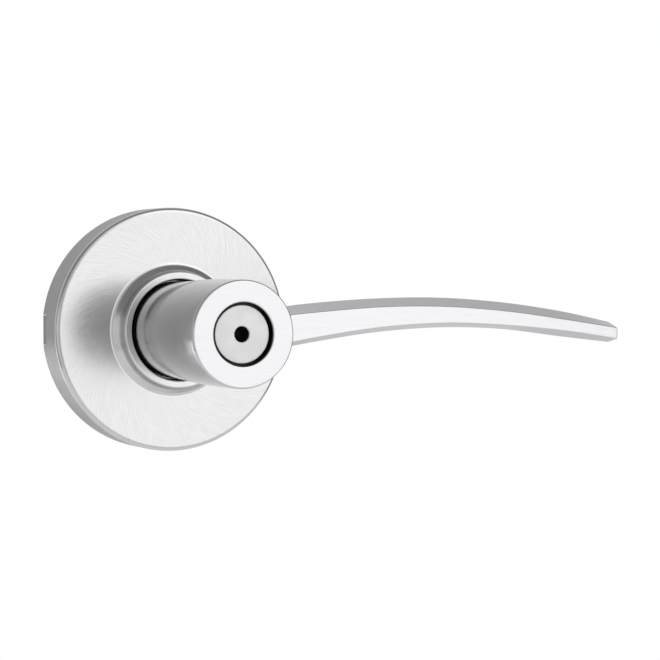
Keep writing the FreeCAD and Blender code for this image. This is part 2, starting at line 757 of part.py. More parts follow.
def arm_body():
    """Slender six-sided arm, with ruled faces between its ridge lines and a flat face at each end."""
    ridges = [
        ridge(arm_front_low, 0),
        ridge(arm_front_top, 0),
        ridge(arm_wide_top, arm_wide_depth),
        ridge(arm_wide_top, arm_back_depth, arm_back_inset),
        ridge(arm_wide_low, arm_back_depth, -arm_back_inset),
        ridge(arm_wide_low, arm_wide_depth),
    ]
    faces = [Part.makeRuledSurface(a, b) for a, b in zip(ridges, ridges[1:] + ridges[:1])]
    for end in (0, -1):
        corners = [edge.Vertexes[end].Point for edge in ridges]
        faces.append(Part.Face(Part.Wire(closed_lines(corners))))
    shell = Part.Shell(faces)
    shell.sewShape()
    solid = Part.makeSolid(shell)
    solid.fix(1e-4, 1e-5, 1e-3)
    return solid


def lever_handle():
    lever = hub_body().fuse(arm_body())
    root_edges = [edge for edge in lever.Edges if is_root_edge(edge)]
    lever = lever.makeFillet(arm_root_fillet, root_edges)
    lever = lever.cut(disc(hub_bore_r, hub_base_z - 1, insert_seat_z))
    lever = lever.cut(disc(insert_bore_r, insert_seat_z, hub_face_z + 1))
    mouth_rim = [edge for edge in lever.Edges if is_mouth_rim(edge)]
    lever = lever.makeFillet(insert_mouth_round, mouth_rim)
    clip_back_z = insert_clip_back_z - clip_play
    clip_front_z = insert_clip_back_z + insert_clip_t + clip_play
    lever = lever.cut(ring(hub_bore_r + insert_clip_groove, 1, clip_back_z, clip_front_z))
    catch_hole = Part.makeCylinder(catch_hole_r, hub_face_r + 2, V(0, 0, catch_z), V(0, -1, 0))
    lever = lever.cut(catch_hole)
    key = block((-key_width / 2, key_width / 2), (key_inner_r, hub_bore_r + 0.5), (key_back_z, key_front_z))
    return lever.fuse(key).removeSplitter()


def is_root_edge(edge):
    """True for an edge where the arm meets the hub's side."""
    box = edge.BoundBox
    outer_r = hub_face_r + 0.6
    near_hub = box.XMin > hub_bore_r and box.XMax < outer_r
    clear_of_face = box.ZMax < hub_face_z - 1
    return near_hub and clear_of_face and box.ZMin > hub_neck_top_z


def is_mouth_rim(edge):
    """True for the rim of the insert's bore in the hub's face."""
    box = edge.BoundBox
    return box.ZMin > hub_face_z - 0.01 and abs(box.XMax - insert_bore_r) < 0.01


def release_insert():
    """Plug in the hub's face: a disc, a flange against the hub's shoulder and a tube that guides the pin."""
    flange_front_z = insert_seat_z - seat_gap
    flange_back_z = flange_front_z - insert_flange_t
    plug = disc(insert_disc_r, flange_back_z, insert_face_z)
    plug = plug.fuse(disc(hub_bore_r - seat_gap, flange_back_z, flange_front_z))
    plug = plug.fuse(disc(insert_tube_r, insert_tube_back_z, flange_back_z))
    half_key = key_width / 2 + 2 * slide_gap
    notch_y = (key_inner_r - slide_gap, hub_bore_r)
    notch = block((-half_key, half_key), notch_y, (flange_back_z, flange_front_z))
    plug = plug.cut(notch)
    plug = plug.cut(disc(insert_hole_r, insert_tube_back_z, insert_face_z))
    rims = [edge for edge in plug.Edges if edge.Closed and abs(edge.BoundBox.ZMin - insert_face_z) < 0.01]
    return plug.makeChamfer(insert_chamfer, rims)


def insert_clip():
    front_z = insert_clip_back_z + insert_clip_t
    outer_r = hub_bore_r + insert_clip_groove - seat_gap
    return split_ring(outer_r, hub_bore_r - insert_clip_width, insert_clip_back_z, front_z, 6.0)


def main():
    os.makedirs("parts", exist_ok=True)
    export("rose_cover", rose_cover())
    export("rose_liner", rose_liner())
    export("rose_snap_ring", rose_snap_ring())
    export("collar_guide", collar_guide())
    export("chassis_plate", chassis_plate())
    export("mounting_posts", *[mounting_post(x) for x in post_places()])
    export("stop_pins", *[stop_pin(x, y) for x, y in stop_pin_places()])
    export("spring_housing", spring_housing())
    export("housing_screws", *[housing_screw(x, y) for x, y in screw_places()])
    export("rear_bushing", rear_bushing())
    export("front_bushing", front_bushing())
    export("return_spring", return_spring())
    export("drive_cam", drive_cam())
    export("spindle_sleeve", spindle_sleeve())
    export("sleeve_clip", sleeve_clip())
    export("thrust_washer", thrust_washer())
    export("spring_washer", spring_washer())
    export("spindle_carrier", spindle_carrier())
    export("carrier_pins", carrier_pin(-1), carrier_pin(1))
    export("drive_spindle", drive_spindle())
    export("spindle_clip", spindle_clip())
    export("lever_catch", lever_catch())
    export("catch_spring", catch_spring())
    export("plunger_guide", plunger_guide())
    export("guide_ring", guide_ring())
    export("release_plunger", release_plunger())
    export("plunger_spring", plunger_spring())
    export("plunger_clip", plunger_clip())
    export("lever_handle", lever_handle())
    export("release_insert", release_insert())
    export("insert_clip", insert_clip())


main()
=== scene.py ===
import json
import math

import bmesh
import bpy
from mathutils import Matrix, Vector


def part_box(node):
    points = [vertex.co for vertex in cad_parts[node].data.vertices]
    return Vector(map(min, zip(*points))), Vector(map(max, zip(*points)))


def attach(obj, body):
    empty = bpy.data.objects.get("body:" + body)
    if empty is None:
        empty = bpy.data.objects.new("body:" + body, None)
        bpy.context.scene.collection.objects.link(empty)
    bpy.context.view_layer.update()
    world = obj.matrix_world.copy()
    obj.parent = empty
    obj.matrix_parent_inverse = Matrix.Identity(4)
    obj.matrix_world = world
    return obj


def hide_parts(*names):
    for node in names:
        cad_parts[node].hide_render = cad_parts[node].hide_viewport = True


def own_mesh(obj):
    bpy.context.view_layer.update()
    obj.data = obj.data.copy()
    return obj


# Looks of the outside trim of a privacy lever set. The frame is in metres. Outlines below are in
# millimetres, as (radius, out) or (height, out), where "out" is the distance out of the door, along -y.

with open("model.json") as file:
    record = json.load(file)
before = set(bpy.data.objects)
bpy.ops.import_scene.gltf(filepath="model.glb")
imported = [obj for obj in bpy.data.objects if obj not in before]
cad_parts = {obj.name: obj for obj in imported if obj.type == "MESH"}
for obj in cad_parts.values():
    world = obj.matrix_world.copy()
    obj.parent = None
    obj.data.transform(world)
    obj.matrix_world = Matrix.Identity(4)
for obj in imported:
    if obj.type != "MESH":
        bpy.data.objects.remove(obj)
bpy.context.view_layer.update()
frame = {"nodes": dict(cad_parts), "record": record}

MM = 0.001
ROUND_STEPS = 6
FLAT_MARGIN = 0.02       # strip beside each rounding, which keeps the flat beyond it shaded flat
NEARLY_STRAIGHT = math.radians(89.5)
WELD = 1e-7              # in metres
SMOOTH_ANGLE = math.radians(32)


# ---------------------------------------------------------------- places and sizes, from the frame

def size_mm(node):
    """Range of a CAD node in x, and in y turned round to read as "out", in millimetres."""
    low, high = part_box(node)
    return {"x": (low.x / MM, high.x / MM), "out": (-high.y / MM, -low.y / MM)}


rose = size_mm("rose_cover")
lever = size_mm("lever_handle")
insert = size_mm("release_insert")
guide = size_mm("collar_guide")
spring = size_mm("plunger_spring")

rose_r = rose["x"][1]
collar_top = rose["out"][1]
hub_base = lever["out"][0]
hub_face = lever["out"][1]
insert_face = insert["out"][1]


# ---------------------------------------------------------------- mesh helpers

def rounded(corners, steps=ROUND_STEPS):
    """Points of a closed outline through (a, b, radius) corners, each made an arc of its radius."""
    points = []
    count = len(corners)
    for i, (a, b, radius) in enumerate(corners):
        here = Vector((a, b))
        if radius <= 0:
            points.append((a, b))
            continue
        back = (Vector(corners[i - 1][:2]) - here).normalized()
        ahead = (Vector(corners[(i + 1) % count][:2]) - here).normalized()
        half = back.angle(ahead) / 2
        if half > NEARLY_STRAIGHT:
            points.append((a, b))
            continue
        centre = here + (back + ahead).normalized() * radius / math.sin(half)
        start = here + back * radius / math.tan(half) - centre
        end = here + ahead * radius / math.tan(half) - centre
        sweep = start.angle_signed(end)
        points.append(tuple(centre + start + back * FLAT_MARGIN))
        for step in range(steps + 1):
            turn = Matrix.Rotation(-sweep * step / steps, 2)
            points.append(tuple(centre + turn @ start))
        points.append(tuple(centre + end + ahead * FLAT_MARGIN))
    return points


def new_piece(name, bm, body, slot, *replaced):
    """Turns a bmesh in millimetres, with +z out of the door and y up, into a piece in the stored frame.

    A piece with no body is a helper for combine, which uses it up.
    """
    to_frame = Matrix.Rotation(math.radians(90), 4, "X") @ Matrix.Scale(MM, 4)
    bmesh.ops.transform(bm, matrix=to_frame, verts=bm.verts)
    bmesh.ops.remove_doubles(bm, verts=bm.verts, dist=WELD)
    bmesh.ops.recalc_face_normals(bm, faces=bm.faces)
    mesh = bpy.data.meshes.new(name)
    bm.to_mesh(mesh)
    bm.free()
    piece = bpy.data.objects.new(name, mesh)
    bpy.context.scene.collection.objects.link(piece)
    if body:
        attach(piece, body)
    if replaced:
        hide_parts(*replaced)
    return piece


def skin(bm, rings, close_rings=True, cap=False):
    """Faces between successive rings of points, each ring a list of (x, y, z)."""
    made = [[bm.verts.new(point) for point in ring] for ring in rings]
    count = len(made[0])
    following = made[1:] + made[:1] if close_rings else made[1:]
    for first, second in zip(made, following):
        for i in range(count):
            j = (i + 1) % count
            bm.faces.new((first[i], first[j], second[j], second[i]))
    if cap:
        bm.faces.new(made[0])
        bm.faces.new(made[-1])


def turned(name, body, slot, outline, *replaced, segments=192):
    """Piece made of a closed (radius, out) outline turned about the spindle axis."""
    rings = []
    for i in range(segments):
        angle = 2 * math.pi * i / segments
        c, s = math.cos(angle), math.sin(angle)
        rings.append([(r * c, r * s, out) for r, out in outline])
    bm = bmesh.new()
    skin(bm, rings)
    return new_piece(name, bm, body, slot, *replaced)


def helper(name, rings):
    """Capped solid through the rings, for combine."""
    bm = bmesh.new()
    skin(bm, rings, close_rings=False, cap=True)
    return new_piece(name, bm, None, None)


def cutter_box(x_range, y_range, out_range):
    (left, right), (low, high) = x_range, y_range
    corners = [(left, low), (right, low), (right, high), (left, high)]
    return helper("cutter", [[(x, y, out) for x, y in corners] for out in out_range])


def combine(piece, other, operation):
    """Joins or cuts a piece with another mesh, which is used up."""
    modifier = piece.modifiers.new("combine", "BOOLEAN")
    modifier.operation = operation
    modifier.solver = "EXACT"
    modifier.object = other
    bake_modifiers(piece)
    bpy.data.objects.remove(other)


def bake_modifiers(piece):
    depsgraph = bpy.context.evaluated_depsgraph_get()
    mesh = bpy.data.meshes.new_from_object(piece.evaluated_get(depsgraph))
    piece.modifiers.clear()
    old = piece.data
    piece.data = mesh
    bpy.data.meshes.remove(old)


def smooth(piece, angle=SMOOTH_ANGLE):
    mesh = piece.data
    mesh.polygons.foreach_set("use_smooth", [True] * len(mesh.polygons))
    mesh.set_sharp_from_angle(angle=angle)


def set_material(piece, material):
    piece.data.materials.clear()
    piece.data.materials.append(material)


# ---------------------------------------------------------------- material helpers

NOISE_MIDDLE = (0.3, 0.7)           # the range that most of a noise's values fall in
FACING_OUT = (0.75, 0.93)           # outward part of the normal, from the sides to the front faces


class Shader:
    """Short way to write a node tree: each call adds a node, wires its inputs and returns an output."""

    def __init__(self, name):
        self.material = bpy.data.materials.new(name)
        self.material.use_nodes = True
        self.tree = self.material.node_tree
        self.bsdf = self.tree.nodes["Principled BSDF"]

    def add(self, kind, inputs=None, output=0, **settings):
        node = self.tree.nodes.new(kind)
        for key, value in settings.items():
            setattr(node, key, value)
        for key, value in (inputs or {}).items():
            self.put(node, key, value)
        return node.outputs[output]

    def put(self, node, key, value):
        if isinstance(value, bpy.types.NodeSocket):
            self.tree.links.new(value, node.inputs[key])
        else:
            node.inputs[key].default_value = value

    def math(self, operation, a, b=0.0):
        return self.add("ShaderNodeMath", {0: a, 1: b}, operation=operation)

    def ramp(self, value, low, high, out_low=0.0, out_high=1.0):
        """Smooth step from out_low to out_high as the value goes from low to high."""
        return self.add("ShaderNodeMapRange", {0: value, 1: low, 2: high, 3: out_low, 4: out_high},
                        interpolation_type="SMOOTHSTEP")

    def vector(self, x, y, z):
        return self.add("ShaderNodeCombineXYZ", {0: x, 1: y, 2: z})

    def noise(self, vector, scale, detail, roughness):
        return self.add("ShaderNodeTexNoise", {"Vector": vector, "Scale": scale, "Detail": detail,
                                               "Roughness": roughness})

    def mix(self, factor, a, b):
        """Weighted mix of two numbers."""
        return self.add("ShaderNodeMix", {0: factor, 2: a, 3: b}, data_type="FLOAT")

    def colour(self, factor, a, b):
        """Weighted mix of two colours."""
        node = self.tree.nodes.new("ShaderNodeMix")
        node.data_type = "RGBA"
        self.put(node, 0, factor)
        self.put(node, 6, a)
        self.put(node, 7, b)
        return node.outputs[2]

    def object_axes(self):
        """x, y and z of the point in the piece's own frame, in metres."""
        place = self.add("ShaderNodeTexCoord", output=3)
        split = self.tree.nodes.new("ShaderNodeSeparateXYZ")
        self.tree.links.new(place, split.inputs[0])
        return split.outputs

    def facing(self):
        """1 where the surface faces out of the door, 0 on the sides."""
        normal = self.add("ShaderNodeTexCoord", output=1)
        split = self.tree.nodes.new("ShaderNodeSeparateXYZ")
        self.tree.links.new(normal, split.inputs[0])
        return self.ramp(self.math("MULTIPLY", split.outputs[1], -1.0), *FACING_OUT)

    def bump(self, height, strength, distance):
        return self.add("ShaderNodeBump", {"Strength": strength, "Distance": distance, "Height": height})

    def finish(self, **inputs):
        """The material, with the inputs of its Principled BSDF set; "_" in a name stands for a space."""
        for key, value in inputs.items():
            self.put(self.bsdf, key.replace("_", " "), value)
        return self.material


def grey(value, tint=(1.0, 1.0, 1.0)):
    return tuple(value * part for part in tint) + (1.0,)


ROSE_TINT = (1.0, 0.995, 0.992)
LEVER_TINT = (0.975, 0.978, 1.0)
INSERT_TINT = (0.985, 1.0, 0.99)
NYLON_TINT = (1.0, 0.98, 0.93)
STEEL_TINT = (1.0, 0.99, 0.95)
HUB_SIDE_R = (0.0141, 0.0150)       # the hub's polish changes to the arm's brushing between these radii
BORE_SHADE_R = 0.0080                     # painted shade: the hub is painted near-black inside this radius
BORE_SHADE_EDGE = 0.0002
DISC_R = 0.0073
DISC_EDGE = 0.00005
HOLE_R = 0.0020
GAP_SHADE_FROM, GAP_SHADE_TO = 0.0003, 0.0005   # painted shade on the insert fades in between these depths behind its face
SWIRL = 0.85                        # tangent of the angle between the rose's brush lines and a radius
SWIRL_TURN = -0.112                 # the same angle as a share of a full turn


def polar_axes(s):
    """Radius from the spindle axis in metres, angle about it, and y, which falls on the way out."""
    x, y, z = s.object_axes()
    squared = s.math("ADD", s.math("MULTIPLY", x, x), s.math("MULTIPLY", z, z))
    return s.math("SQRT", squared), s.math("ARCTAN2", z, x), y


def fan_vector(s, angle, length, turns, per_metre):
    """Noise vector that changes with the angle by "turns" and with the length by "per_metre"."""
    return s.vector(s.math("MULTIPLY", s.math("COSINE", angle), turns),
                    s.math("MULTIPLY", s.math("SINE", angle), turns),
                    s.math("MULTIPLY", length, per_metre))


def satin_face():
    """Satin chrome of the rose's face, brushed in a fan of spirals."""
    s = Shader("satin_chrome_face")
    radius, angle, _ = polar_axes(s)
    sweep = s.math("MULTIPLY", s.math("LOGARITHM", radius, math.e), SWIRL)
    swept = s.math("SUBTRACT", angle, sweep)
    fine = s.noise(fan_vector(s, swept, radius, 240.0, 420.0), 1.0, 5.0, 0.75)
    broad = s.noise(fan_vector(s, swept, radius, 120.0, 210.0), 1.0, 4.0, 0.65)
    streaks = s.mix(0.55, s.ramp(broad, *NOISE_MIDDLE), s.ramp(fine, *NOISE_MIDDLE))
    shade = s.colour(streaks, grey(0.525, ROSE_TINT), grey(0.645, ROSE_TINT))
    tangent = s.add("ShaderNodeTangent", direction_type="RADIAL", axis="Y")
    return s.finish(Base_Color=shade, Metallic=1.0, Roughness=s.ramp(fine, *NOISE_MIDDLE, 0.10, 0.17),
                    Anisotropic=0.92, Anisotropic_Rotation=SWIRL_TURN, Tangent=tangent,
                    Normal=s.bump(fine, 0.20, 0.00004))


def satin_turned():
    """Satin chrome of the rose's collar and side, rubbed round the axis."""
    s = Shader("satin_chrome_turned")
    radius, angle, y = polar_axes(s)
    per_metre = 2600.0
    around = s.vector(s.math("MULTIPLY", radius, per_metre), s.math("MULTIPLY", y, per_metre),
                      s.math("MULTIPLY", angle, 3.0))
    lines = s.noise(around, 1.0, 3.0, 0.6)
    cloud = s.noise(fan_vector(s, angle, y, 3.0, 150.0), 1.0, 2.0, 0.5)
    shade = s.colour(s.ramp(cloud, *NOISE_MIDDLE), grey(0.60, ROSE_TINT), grey(0.64, ROSE_TINT))
    return s.finish(Base_Color=shade, Metallic=1.0, Roughness=s.ramp(lines, 0.2, 0.8, 0.18, 0.27),
                    Normal=s.bump(lines, 0.10, 0.00003))


def satin_lever():
    """Satin chrome: brushed along the arm on the front, polished on the sides; front faces painted
    lighter than the sides, and painted shade in the bore.
    """
    s = Shader("satin_chrome_lever")
    x, y, z = s.object_axes()
    radius, angle, _ = polar_axes(s)
    across_brush = 2600.0
    length_brush = s.vector(s.math("MULTIPLY", x, 110.0), s.math("MULTIPLY", y, across_brush),
                            s.math("MULTIPLY", z, across_brush))
    brushed = s.noise(length_brush, 1.0, 4.0, 0.65)
    polished = s.noise(fan_vector(s, angle, y, 2.0, 2400.0), 1.0, 3.0, 0.6)
    on_hub = s.ramp(radius, *HUB_SIDE_R, 1.0, 0.0)
    facing = s.facing()
    sides = s.mix(on_hub, brushed, polished)
    lines = s.mix(facing, sides, brushed)
    side_rough = s.ramp(sides, 0.2, 0.8, 0.09, 0.15)
    front_rough = s.ramp(brushed, 0.25, 0.75, 0.26, 0.38)
    rough = s.mix(facing, side_rough, front_rough)
    # Painted light: faces turned out of the door get a lighter colour than the sides, a painted
    # highlight on the fronts and painted shade on the sides.
    shade = s.colour(facing, grey(0.58, LEVER_TINT), grey(0.67, LEVER_TINT))
    # Painted shade: near-black colour inside the bore, round the insert, where shade falls.
    in_bore = s.ramp(radius, BORE_SHADE_R, BORE_SHADE_R + BORE_SHADE_EDGE, 1.0, 0.0)
    tangent = s.add("ShaderNodeTangent", direction_type="RADIAL", axis="X")
    return s.finish(Base_Color=s.colour(in_bore, shade, grey(0.05)), Metallic=1.0, Roughness=rough,
                    Anisotropic=0.35, Tangent=tangent, Specular_Tint=grey(0.86),
                    Normal=s.bump(lines, s.mix(facing, 0.05, 0.14), 0.00003))


def painted_insert():
    """Matt light grey plug with a very fine grain, with painted shade in its hole and in the gap round
    its disc.
    """
    s = Shader("insert_grey")
    place = s.add("ShaderNodeTexCoord", output=3)
    grain = s.noise(place, 5200.0, 3.0, 0.6)
    cloud = s.noise(place, 260.0, 2.0, 0.5)
    shade = s.colour(s.ramp(cloud, *NOISE_MIDDLE), grey(0.69, INSERT_TINT), grey(0.74, INSERT_TINT))
    radius, _, y = polar_axes(s)
    # Painted shade: near-black, non-metallic colour in the hole and in the gap round the disc, behind
    # the face.
    hole_shade = s.ramp(radius, HOLE_R, HOLE_R + DISC_EDGE, 1.0, 0.0)
    past_disc = s.ramp(radius, DISC_R - DISC_EDGE, DISC_R)
    behind_face = s.ramp(y, GAP_SHADE_FROM - insert_face * MM, GAP_SHADE_TO - insert_face * MM)
    hole_and_gap_shade = s.math("MULTIPLY", s.math("ADD", hole_shade, past_disc), behind_face)
    return s.finish(Base_Color=s.colour(hole_and_gap_shade, shade, grey(0.006)), Metallic=s.mix(hole_and_gap_shade, 0.25, 0.0),
                    Roughness=s.ramp(grain, *NOISE_MIDDLE, 0.42, 0.56),
                    Normal=s.bump(grain, 0.12, 0.00003))


def moulded(name, low, high, roughness):
    """Moulded nylon: a slight cloudiness and a fine orange-peel surface."""
    s = Shader(name)
    place = s.add("ShaderNodeTexCoord", output=3)
    grain = s.noise(place, 2400.0, 2.0, 0.5)
    cloud = s.noise(place, 150.0, 3.0, 0.5)
    spread = 0.06
    return s.finish(Base_Color=s.colour(s.ramp(cloud, *NOISE_MIDDLE), low, high),
                    Roughness=s.ramp(grain, *NOISE_MIDDLE, roughness - spread, roughness + spread),
                    Normal=s.bump(grain, 0.15, 0.00004))


def cast_zinc():
    """Die-cast zinc: dull, mottled and slightly pitted."""
    s = Shader("cast_zinc")
    place = s.add("ShaderNodeTexCoord", output=3)
    mottle = s.noise(place, 180.0, 5.0, 0.6)
    pits = s.noise(place, 1500.0, 4.0, 0.7)
    shade = s.colour(s.ramp(mottle, *NOISE_MIDDLE), grey(0.29), grey(0.39))
    return s.finish(Base_Color=shade, Metallic=1.0, Roughness=s.ramp(pits, *NOISE_MIDDLE, 0.36, 0.55),
                    Normal=s.bump(pits, 0.25, 0.00006))


def plated_steel(name, low, high, rough_low, rough_high):
    """Machined and plated steel, with fine lines round the spindle axis."""
    s = Shader(name)
    radius, _, y = polar_axes(s)
    place = s.add("ShaderNodeTexCoord", output=3)
    cloud = s.noise(place, 320.0, 4.0, 0.6)
    per_metre = 1800.0
    around = s.vector(s.math("MULTIPLY", radius, per_metre), s.math("MULTIPLY", y, per_metre), 0.0)
    lines = s.noise(around, 1.0, 3.0, 0.6)
    return s.finish(Base_Color=s.colour(s.ramp(cloud, *NOISE_MIDDLE), low, high), Metallic=1.0,
                    Roughness=s.ramp(lines, 0.25, 0.75, rough_low, rough_high),
                    Normal=s.bump(lines, 0.1, 0.00003))


materials = {
    "rose": satin_turned(),
    "rose_face": satin_face(),
    "lever": satin_lever(),
    "insert": painted_insert(),
    "black_nylon": moulded("black_nylon", grey(0.012), grey(0.022), 0.45),
    "white_nylon": moulded("white_nylon", grey(0.66, NYLON_TINT), grey(0.74, NYLON_TINT), 0.40),
    "zinc": cast_zinc(),
    "plated_steel": plated_steel("plated_steel", grey(0.50, STEEL_TINT), grey(0.60, STEEL_TINT),
                                 0.22, 0.38),
    "spring_steel": plated_steel("spring_steel", grey(0.22), grey(0.30), 0.25, 0.42),
}


# ---------------------------------------------------------------- rose cover

def make_rose():
    """Stamped shell: side wall with a notch at the back, flat face, coned foot and collar."""
    wall = 1.0
    taper = 0.1
    face = 12.4
    edge_round = 1.4
    foot_r = 18.5             # the brushed face ends here
    cone_low_r = foot_r - 0.75
    cone_top_r = foot_r - 2.5
    cone_top = face + 1.9
    collar_r = foot_r - 2.75
    mouth_r = 13.72
    inner_r = rose_r - wall
    outside = [
        (inner_r, 0.0, 0.12),
        (rose_r, 0.0, 0.12),
        (rose_r - taper, face, edge_round),
        (cone_low_r, face, 1.5),
        (cone_top_r, cone_top, 2.0),
        (collar_r, collar_top, 0.5),
        (mouth_r, collar_top, 0.4),
    ]
    inside = [
        (mouth_r, collar_top - wall, 0.1),
        (mouth_r + 1.2, collar_top - wall, 0.4),
        (foot_r - 3.4, collar_top - 2.7, 0.5),
        (foot_r - 2.3, face + 0.1, 1.5),
        (foot_r + 0.4, face - 0.65, 1.5),
        (inner_r, face - wall, 0.4),
    ]
    outline = rounded(outside + inside, steps=10)
    piece = turned("rose_shell", "chassis", "satin_chrome", outline, "rose_cover", segments=320)
    notch_half = 4.1
    notch_depth = 2.85
    clear = 2.0
    notch = cutter_box((-rose_r - clear, -inner_r + clear), (-notch_half, notch_half),
                       (-clear / 2, notch_depth))
    combine(piece, notch, "DIFFERENCE")
    smooth(piece)
    set_material(piece, materials["rose"])
    piece.data.materials.append(materials["rose_face"])
    for polygon in piece.data.polygons:
        x, _, z = polygon.center / MM
        faces_out = polygon.normal.y < -0.9
        polygon.material_index = int(faces_out and foot_r < math.hypot(x, z))


# ---------------------------------------------------------------- lever

# The arm's section is a flat front between two sloping sides that run out to its widest lines and back.
# Heights of those edges are given at distances from the spindle axis.
ARM_STATIONS = [9.6, 20.0, 40.0, 60.0, 80.0, 100.0, 117.6]
ARM_HEIGHTS = {
    "front_top": [4.1, 5.15, 6.5, 6.45, 5.0, 2.5, 0.1],
    "front_low": [-3.2, -1.3, 1.2, 2.1, 1.2, -0.6, -3.0],
    "wide_top": [5.6, 7.35, 8.75, 8.95, 7.65, 5.1, 1.8],
    "wide_low": [-5.1, -3.0, -0.35, 0.8, 0.15, -2.2, -4.1],
}
ARM_FRONT = 59.0          # out of the door, at the hub
ARM_RETURN = 6.5          # how much nearer the door the front is at the tip
ARM_WIDE_DEPTH = 6.0
ARM_BACK_DEPTH = 10.0
ARM_THINNING = 0.22       # share of its depth that the arm loses by the tip
ARM_BACK_INSET = 1.6
ARM_WRAP_END = 30.0       # where the sections start to bend round the hub, and over what length
ARM_WRAP_LENGTH = 16.0
HUB_R = 13.7
ROOT_FILLET = 1.3
TIP_ROUND = 0.45


def along(stations, values, x):
    """Smooth curve through the values at the stations."""
    last = len(stations) - 1
    i = max(k for k in range(last) if stations[k] <= x or k == 0)
    slopes = []
    for k in (i, i + 1):
        a, b = max(k - 1, 0), min(k + 1, last)
        slopes.append((values[b] - values[a]) / (stations[b] - stations[a]))
    width = stations[i + 1] - stations[i]
    t = (x - stations[i]) / width
    return ((2 * t ** 3 - 3 * t ** 2 + 1) * values[i] + (t ** 3 - 2 * t ** 2 + t) * width * slopes[0]
            + (3 * t ** 2 - 2 * t ** 3) * values[i + 1] + (t ** 3 - t ** 2) * width * slopes[1])


def arm_section(s):
    """Closed section of the arm at a distance s from the spindle axis, as points (x, y, out)."""
    height = {key: along(ARM_STATIONS, values, s) for key, values in ARM_HEIGHTS.items()}
    share = (s - ARM_STATIONS[0]) / (ARM_STATIONS[-1] - ARM_STATIONS[0])
    front = ARM_FRONT - ARM_RETURN * share ** 2
    thin = 1 - ARM_THINNING * share
    grow = root_flare(s) - tip_shrink(s)
    wide = front - ARM_WIDE_DEPTH * thin
    back = front - ARM_BACK_DEPTH * thin - grow
    front += grow
    corners = [
        (height["front_low"] - grow, front, 0.3),
        (height["front_top"] + grow, front, 0.3),
        (height["wide_top"] + grow, wide, 1.2),
        (height["wide_top"] + grow - ARM_BACK_INSET, back, 1.3),
        (height["wide_low"] - grow + ARM_BACK_INSET, back, 1.3),
        (height["wide_low"] - grow, wide, 1.2),
    ]
    wrap = min(1.0, max(0.0, (ARM_WRAP_END - s) / ARM_WRAP_LENGTH))
    points = []
    for y, out in rounded(corners, steps=5):
        x = s - wrap * (s - math.sqrt(max(s * s - y * y, 0.0)))
        points.append((x, y, out))
    return points


def root_flare(s):
    """How far the arm swells where it runs into the hub: a concave quarter round."""
    clear = min(max(s - HUB_R, 0.0), ROOT_FILLET)
    return ROOT_FILLET - math.sqrt(ROOT_FILLET ** 2 - (ROOT_FILLET - clear) ** 2)


def tip_shrink(s):
    """Rounding of the arm's end."""
    into = min(max(s - (ARM_STATIONS[-1] - TIP_ROUND), 0.0), TIP_ROUND)
    return TIP_ROUND - math.sqrt(TIP_ROUND ** 2 - into ** 2)


def arm_places():
    """Distances from the spindle axis at which the arm has a section, closer at its root and its end."""
    quarter = math.pi / 2
    inside_hub = [ARM_STATIONS[0], 12.0, HUB_R - 0.4]
    flare_steps = 10
    flare = [HUB_R + ROOT_FILLET * (1 - math.cos(quarter * i / flare_steps))
             for i in range(flare_steps + 1)]
    first = HUB_R + ROOT_FILLET
    last = ARM_STATIONS[-1] - TIP_ROUND
    steps = 110
    length = [first + (last - first) * i / steps for i in range(1, steps)]
    tip_steps = 6
    tip = [last + TIP_ROUND * math.sin(quarter * i / tip_steps) for i in range(tip_steps + 1)]
    return inside_hub + flare + length + tip


HUB_STATIONS = [22.0, 30.5, 38.0, 47.0]
HUB_RADII = [13.15, 13.35, 13.67, 13.78]


def hub_outline():
    """Outline of the hub: a plain neck that flares to a wider barrel, with its bore."""
    face_r = 13.65
    edge = 0.6
    bore_r = 8.3
    insert_bore_r = 7.95
    seat = 58.9
    stations = HUB_STATIONS + [hub_face - edge]
    radii = HUB_RADII + [face_r]
    side_steps = 40
    side = []
    for i in range(side_steps + 1):
        out = stations[0] + (stations[-1] - stations[0]) * i / side_steps
        side.append((along(stations, radii, out), out, 0.0))
    return rounded([(bore_r, hub_base, 0.25), (HUB_RADII[0], hub_base, 0.6)] + side + [
        (face_r - 0.02, hub_face, edge - 0.02),
        (insert_bore_r, hub_face, 0.5),
        (insert_bore_r, seat, 0.0),
        (bore_r, seat, 0.0),
    ])


def make_lever():
    """Hub and arm in one casting, with the access hole for the catch in the hub's underside."""
    piece = turned("lever_casting", "lever", "satin_chrome", hub_outline(), "lever_handle", segments=256)
    combine(piece, helper("arm", [arm_section(s) for s in arm_places()]), "UNION")
    catch_out = 26.0
    catch_r = 2.0
    in_bore, outside = 7.5, 14.5
    sides = 48
    # Half a step round, so that no corner of the hole meets the hub's own seam.
    angles = [2 * math.pi * (i + 0.5) / sides for i in range(sides)]
    rings = [[(catch_r * math.cos(a), -depth, catch_out + catch_r * math.sin(a)) for a in angles]
             for depth in (in_bore, outside)]
    combine(piece, helper("cutter", rings), "DIFFERENCE")
    smooth(piece)
    set_material(piece, materials["lever"])


# ---------------------------------------------------------------- insert and collar guide

def make_insert():
    """Plug in the hub's face: disc with the release hole, flange that seats in the hub, and tube."""
    hole_r = 2.0
    disc_r = 7.3
    flange_r = 8.2
    tube_r = 3.6
    flange_front = 58.85
    flange_back = 57.25
    tube_back = insert["out"][0]
    outline = rounded([
        (hole_r, insert_face, 0.35),
        (hole_r, tube_back, 0.2),
        (tube_r, tube_back, 0.2),
        (tube_r, flange_back, 0.3),
        (flange_r, flange_back, 0.2),
        (flange_r, flange_front, 0.1),
        (disc_r, flange_front, 0.0),
        (disc_r, insert_face, 0.22),
    ])
    piece = turned("release_plug", "lever", "insert_grey", outline, "release_insert")
    smooth(piece)
    set_material(piece, materials["insert"])


